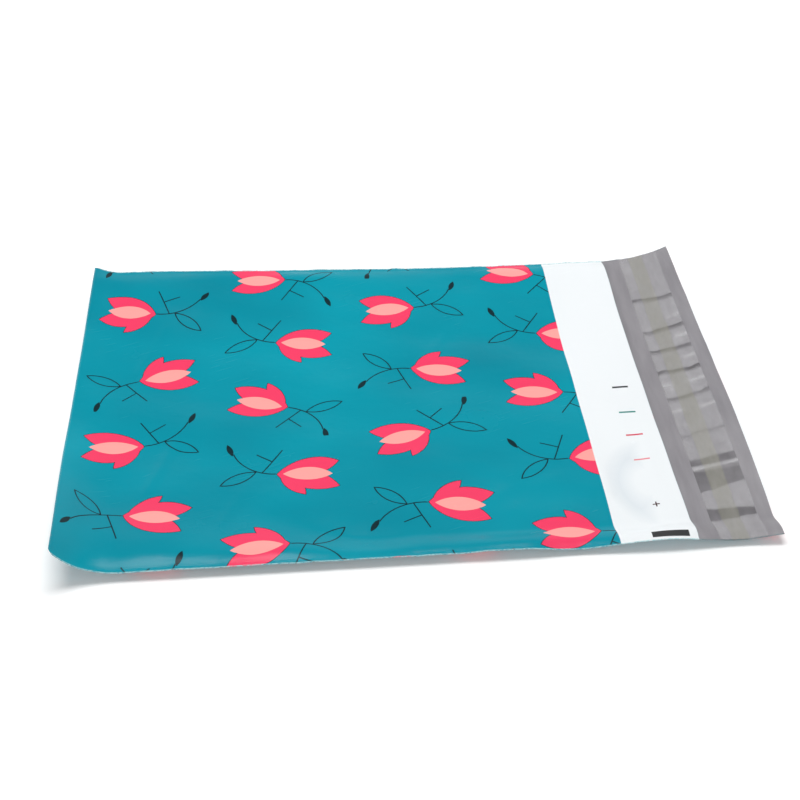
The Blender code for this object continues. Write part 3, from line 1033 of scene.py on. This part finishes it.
    def dress(self, thing: Object) -> None:
        """Give the film its two finishes and say what it stands for."""
        thing.data.materials.append(PrintedFilm().make())
        thing.data.materials.append(InnerFilm().make())
        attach(thing, "root")
        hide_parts("bag_film")


@dataclass(frozen=True)
class FlapRibbon:
    """A thin closed ribbon on the flap's inner face, from one side of the bag to the other."""

    lay: Lay
    start: float
    width: float
    thickness: float
    end_margin: float = 0.0006
    clearance: float = 0.00008
    film: float = 0.00006
    row_step: float = 0.0010
    column_step: float = 0.0005

    def grid(self) -> tuple[Array, Array]:
        """Distances along and across the flat bag of the ribbon's points."""
        row_count = int(round(self.width / self.row_step)) + 1
        rows = np.linspace(self.start, self.start + self.width, row_count)
        reach = self.lay.half - self.end_margin
        columns = np.linspace(-reach, reach, int(round(2.0 * reach / self.column_step)) + 1)
        along, across = np.meshgrid(rows, columns, indexing="ij")
        return along, across

    def shell(self, name: str, along: Array, across: Array, low: Array, high: Array) -> Object:
        """Close a ribbon between its lower and upper faces.

        Args:
            name: The object's name.
            along: Distances along the flat bag.
            across: Distances across it.
            low: Heights of the lower face above the film.
            high: Heights of the upper face.

        Returns:
            The ribbon's object.
        """
        skin = Skin()
        bottom, top = (
            skin.add_points(self.lay.place(along, across, self.film + face), along, across)
            for face in (low, high))
        skin.add_faces(grid_faces(bottom, False), 1.0)
        skin.add_faces(grid_faces(top, True), 1.0)
        skin.add_faces(strip_faces(bottom[-1], top[-1]), 1.0)
        skin.add_faces(strip_faces(top[0], bottom[0]), 1.0)
        skin.add_faces(strip_faces(bottom[:, 0], top[:, 0]), 1.0)
        skin.add_faces(strip_faces(top[:, -1], bottom[:, -1]), 1.0)
        return skin.make_object(name, 60.0)


@dataclass(frozen=True)
class GlueStrip(FlapRibbon):
    """The stripe of hot-melt glue, its edges a little wavy and its back crowned."""

    start: float = 0.3473
    width: float = 0.0095
    thickness: float = 0.00012
    column_step: float = 0.0011
    wander: tuple[Grain, ...] = (Grain(0.006, 1.0, 31, 0.00035), Grain(0.0023, 1.0, 32, 0.0002))

    def build(self) -> Object:
        """Make the stripe: noise pushes its rows apart, its height is a flattened half sine.

        Returns:
            The stripe's object.
        """
        along, across = self.grid()
        share = (along - self.start) / self.width
        along = along + total(self.wander, across, share * 0.0) * (2.0 * share - 1.0)
        crown = np.sqrt(held(np.sin(np.pi * np.clip(share, 0.02, 0.98))))
        low = np.full(along.shape, self.clearance)
        high = low + self.thickness * (0.35 + 0.65 * crown)
        return self.shell("glue_stripe", along, across, low, high)

    def dress(self, thing: Object) -> None:
        """Give the stripe its finish and say what it stands for."""
        thing.data.materials.append(HotMelt().make())
        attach(thing, "root")
        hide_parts("adhesive_strip")


@dataclass(frozen=True)
class ReleaseLiner(FlapRibbon):
    """The clear liner over the glue, thrown into slanting creases that storage has pressed in.

    A crease runs from its place at the liner's inner edge to that at its outer edge, and has a
    weight. A stuck place has two widths there instead, and a painted glint its share on the inner
    side.
    """

    start: float = 0.3412
    width: float = 0.0250
    thickness: float = 0.00005
    glue: GlueStrip = field(default_factory=lambda: GlueStrip(Lay()))
    glue_fade: float = 0.0016
    creases: tuple[tuple[float, float, float], ...] = (
        (0.0820, 0.0790, 1.0), (0.0498, 0.0492, 1.0), (0.0312, 0.0294, 1.0),
        (0.0112, 0.0087, 1.0), (-0.01355, -0.0133, 0.9), (-0.0455, -0.0446, 0.45))
    stuck_places: tuple[tuple[float, float, float, float], ...] = (
        (-0.0765, -0.0730, 0.0245, 0.0208), (-0.1057, -0.1047, 0.0090, 0.0050))
    # the lit rung: a ridge with a painted highlight along it
    lit_rung: Pair = (-0.0711, -0.0702)
    rung_width: float = 0.0017
    rung_height: float = 0.0005
    glints: tuple[tuple[float, float, float], ...] = (
        (0.0405, 0.0395, 0.0), (0.0208, 0.0196, 0.1), (-0.0004, -0.0016, 0.6),
        (-0.0237, -0.0250, 0.7))
    glint_width: float = 0.0015
    crease_width: float = 0.0011
    crease_height: float = 0.00080
    crease_wander: Grain = Grain(0.005, 1.0 / 900.0, 41, 0.0008)
    crease_shadow: float = 0.0004
    stuck_wander: Grain = Grain(0.005, 1.0 / 700.0, 45, 0.0005)
    stuck_blur: float = 0.0018
    loose: Grain = Grain(0.011, 0.009, 42, 0.5)
    loose_height: float = 0.00035
    outer_part: Pair = (0.0165, 0.002)
    # noise for the painted glint specks
    sparks: Grain = Grain(0.006, 0.012, 44, 2.0)
    patches: Grain = Grain(0.021, 0.030, 46, 0.22)
    haze: float = 0.225
    haze_lost_on_glue: float = 0.45
    haze_lost_in_creases: float = 0.34

    def slant(self, along: Array, inner: float, outer: float) -> Array:
        """A number that runs from the liner's inner edge to its outer one."""
        return inner + (outer - inner) * (along - self.start) / self.width

    def off_line(self, along: Array, across: Array, line: Pair, wander: Grain) -> Array:
        """Distances from a slanting line that wanders, each line by a noise of its own.

        Args:
            along: Distances along the flat bag.
            across: Distances across it.
            line: The line's places at the liner's inner and outer edges.
            wander: How it wanders, with grains along it and between lines.

        Returns:
            Distances across the bag.
        """
        return across - self.slant(along, *line) - wander.over(along, along * 0.0 + line[0])

    def build(self) -> Object:
        """Make the liner: it rests on film and glue, and stands up in a bell over each crease.

        Returns:
            The liner's object, with how milky it is, its painted shade and its painted glints kept
            for each vertex.
        """
        along, across = self.grid()
        glue_half = self.glue.width / 2.0
        from_glue = np.abs(along - (self.glue.start + glue_half)) - glue_half
        on_glue = ease(0.5 - from_glue / self.glue_fade)
        crest, dark, block = (np.zeros(along.shape) for _ in range(3))
        for *line, weight in self.creases:
            off = self.off_line(along, across, line, self.crease_wander)
            crest += weight * bell(off, self.crease_width)
            # painted shade: a dark band set off to one side of each crease's crest
            shadow = (off + self.crease_shadow) / (self.crease_width * 1.5)
            dark += weight * np.exp(-(np.abs(shadow) ** 3))
        for *line, wide_inner, wide_outer in self.stuck_places:
            off = self.off_line(along, across, line, self.stuck_wander)
            breadth = self.slant(along, wide_inner, wide_outer)
            block += ease(0.5 + (breadth / 2.0 - np.abs(off)) / self.stuck_blur)
        rung = bell(across - self.slant(along, *self.lit_rung), self.rung_width)
        loose = 0.5 + self.loose.over(across, along)
        stuck = held(block - 1.3 * rung)
        low = (self.clearance + on_glue * (self.glue.thickness + self.clearance)
               + self.crease_height * crest
               + self.loose_height * loose * (1.0 - stuck) * (1.0 - 0.6 * on_glue)
               + self.rung_height * rung)
        thing = self.shell("release_liner_film", along, across, low, low + self.thickness)

        outer_start, outer_blur = self.outer_part
        outer_part = ease((along - (self.start + outer_start)) / outer_blur)
        # painted glints: random specks off the glue, then the listed glint lines
        sparks = 0.5 * held(self.sparks.over(across, along) - 0.8) * (1.0 - on_glue)
        for inner, outer, inner_share in self.glints:
            reach = np.maximum(outer_part, inner_share * (1.0 - 0.8 * on_glue))
            sparks += reach * bell(across - self.slant(along, inner, outer), self.glint_width)
        # painted shade beside the creases and over the stuck places, where the wetted liner also
        # really loses its milk
        shade = held(dark + stuck)
        haze = self.haze * (1.0 + self.patches.over(across, along))
        haze = haze * (1.0 - self.haze_lost_on_glue * on_glue)
        haze = haze * (1.0 - self.haze_lost_in_creases * shade)
        # painted glint, with a painted highlight along the lit rung
        glint = held(sparks + rung * 0.33) * 0.66
        for name, values in (("haze", haze), ("painted_shade", shade), ("glint", glint)):
            both_faces = np.tile(values.astype(np.float32).ravel(), 2)
            kept = thing.data.attributes.new(name, "FLOAT", "POINT")
            kept.data.foreach_set("value", both_faces)
        return thing

    def dress(self, thing: Object) -> None:
        """Give the liner its finish and say what it stands for."""
        thing.data.materials.append(ClearLiner().make())
        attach(thing, "root")
        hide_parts("release_liner")


# Studio


@dataclass(frozen=True)
class SoftBox:
    """A rectangle of soft light."""

    name: str
    place: tuple[float, float, float]
    size: Pair
    watts: float
    aim: tuple[float, float, float] = (0.0, 0.0, 0.0)

    def build(self) -> None:
        """Hang the light and turn it towards its aim."""
        data = bpy.data.lights.new(self.name, "AREA")
        data.shape, data.size, data.size_y, data.energy = "RECTANGLE", *self.size, self.watts
        lamp = put(self.name, data)
        lamp.location = self.place
        down = Vector(self.aim) - Vector(self.place)
        lamp.rotation_euler = down.to_track_quat("-Z", "Y").to_euler()


@dataclass(frozen=True)
class Studio:
    """Pale floor, plain soft light and the camera.

    The floor's glow is given near and far, each as a distance and its strength there. The light of
    wall and ceiling is given as the sine of a height above the horizon and its strength there.
    """

    camera_place: tuple[float, float, float]
    floor_size: float = 12.0
    floor_drop: float = 0.0002
    floor_colour: Colour = (0.900, 0.900, 0.900)
    floor_near: Pair = (0.22, 0.16)
    floor_far: Pair = (0.9, 1.0)
    wall: Pair = (0.50, 0.62)
    ceiling: Pair = (0.68, 0.10)
    sensor_width: float = 36.0
    lens: float = 58.45
    yaw_degrees: float = 4.4446
    pitch_degrees: float = 39.8504
    boxes: tuple[SoftBox, ...] = (
        SoftBox("key", (-0.1, 0.25, 1.3), (1.0, 0.5), 15.6),
        SoftBox("fill", (0.8, -0.9, 1.5), (1.2, 1.2), 3.0),
    )

    def build_floor(self) -> None:
        """Lay the floor: a square seen only from above, whose glow rises with the distance."""
        half, drop = self.floor_size / 2.0, self.floor_drop
        ways = ((-1.0, -1.0), (1.0, -1.0), (1.0, 1.0), (-1.0, 1.0))
        mesh = bpy.data.meshes.new("floor")
        mesh.from_pydata([(x * half, y * half, -drop) for x, y in ways], [], [(0, 1, 2, 3)])
        material = bpy.data.materials.new("floor")
        tree = Tree(material)
        tree.nodes.remove(tree.nodes["Principled BSDF"])
        seen, mirrored, passed = (tree.add("LightPath", output=f"Is {kind} Ray")
                                  for kind in ("Camera", "Glossy", "Transmission"))
        place = tree.add("TexCoord", output="Object")
        radius = tree.add("VectorMath", {0: place}, "Value", operation="LENGTH")
        glow = tree.sweep(radius, self.floor_near, self.floor_far)
        glow = seen.most(mirrored).most(passed) * glow
        both = tree.add("AddShader", {0: tree.add("BsdfDiffuse", {"Color": self.floor_colour}),
                                      1: tree.add("Emission", {"Strength": glow})})
        from_below = tree.add("NewGeometry", output="Backfacing")
        shown = tree.add("MixShader", {0: from_below, 1: both, 2: tree.add("BsdfTransparent")})
        tree.feed(tree.nodes["Material Output"].inputs["Surface"], shown)
        mesh.materials.append(material)
        floor = put("floor", mesh)

    def build_world(self) -> None:
        """Fill the air with soft light, seen as white: pale walls that darken to the ceiling."""
        world = bpy.data.worlds.new("studio")
        tree = Tree(world)
        height = tree.add("SeparateXYZ", {0: tree.add("TexCoord", output="Generated")}, "Z")
        light = tree.sweep(height, self.wall, self.ceiling)
        seen = tree.add("LightPath", output="Is Camera Ray")
        back = tree.nodes["Background"].inputs
        tree.feed(back["Color"], (1.0, 1.0, 1.0))
        tree.feed(back["Strength"], seen.most(light))
        bpy.context.scene.world = world

    def build_camera(self) -> None:
        """Place the camera from its yaw, off +Y towards +X, and its pitch, downwards."""
        yaw, pitch = np.radians(self.yaw_degrees), np.radians(self.pitch_degrees)
        level = np.cos(pitch)
        forward = Vector((np.sin(yaw) * level, np.cos(yaw) * level, -np.sin(pitch)))
        right = Vector((np.cos(yaw), -np.sin(yaw), 0.0))
        turn = Matrix((right, right.cross(forward), -forward)).transposed().to_4x4()
        data = bpy.data.cameras.new("camera")
        data.sensor_width, data.lens = self.sensor_width, self.lens
        camera = put("camera", data)
        camera.matrix_world = Matrix.Translation(self.camera_place) @ turn
        bpy.context.scene.camera = camera

    def build(self) -> None:
        """Set up the floor, the world, the lights and the camera."""
        self.build_floor()
        self.build_world()
        for box in self.boxes:
            box.build()
        self.build_camera()
        bpy.context.scene.view_settings.view_transform = "Standard"


def main() -> None:
    """Build the film, the glue and the liner, then the studio round them."""
    logging.basicConfig(level=logging.INFO, format="%(name)s: %(message)s")
    lay = Lay()
    for piece in (MailerFilm(lay), GlueStrip(lay), ReleaseLiner(lay)):
        thing = piece.build()
        piece.dress(thing)
        log.info("%s: %d triangles", thing.name, len(thing.data.polygons))
    Studio(camera_place=(-0.0442, -0.57386, 0.48159)).build()
    bpy.context.view_layer.update()


if __name__ == "__main__":
    main()
